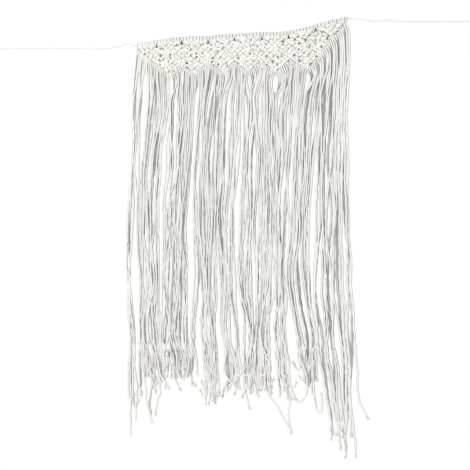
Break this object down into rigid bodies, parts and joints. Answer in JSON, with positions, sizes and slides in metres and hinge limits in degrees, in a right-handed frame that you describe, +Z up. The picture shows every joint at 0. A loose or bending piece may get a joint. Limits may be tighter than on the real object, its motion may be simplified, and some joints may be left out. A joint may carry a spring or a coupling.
{
  "type": "macrame wall hanging with carrying rope",
  "caption": "Knotted cotton wall hanging: a rope with eyes at its ends carries a band of diamonds of square knots and slanting bars, above a long uneven fringe.",
  "frame": {"origin": "on the carrying rope's axis at the middle of the knotted band's top edge", "axes": "+X to the viewer's right along the rope, +Z up, -Y towards the viewer: the front faces -Y and the back lies against the wall"},
  "size_m": [1.292, 0.0275, 1.016],
  "materials": {
    "band_cord": "matt knotted cotton cord",
    "rope": "matt twisted cotton rope",
    "fringe_cord": "matt loose cotton cord"
  },
  "bodies": {
    "root": {"knotted_band": "band_cord", "header_rope": "rope", "left_rope": "rope", "right_rope": "rope", "left_loop": "rope", "right_loop": "rope", "fringe_1": "fringe_cord", "fringe_2": "fringe_cord", "fringe_3": "fringe_cord", "fringe_4": "fringe_cord", "fringe_5": "fringe_cord", "fringe_6": "fringe_cord", "fringe_7": "fringe_cord", "fringe_8": "fringe_cord", "fringe_9": "fringe_cord"}
  },
  "joints": []
}
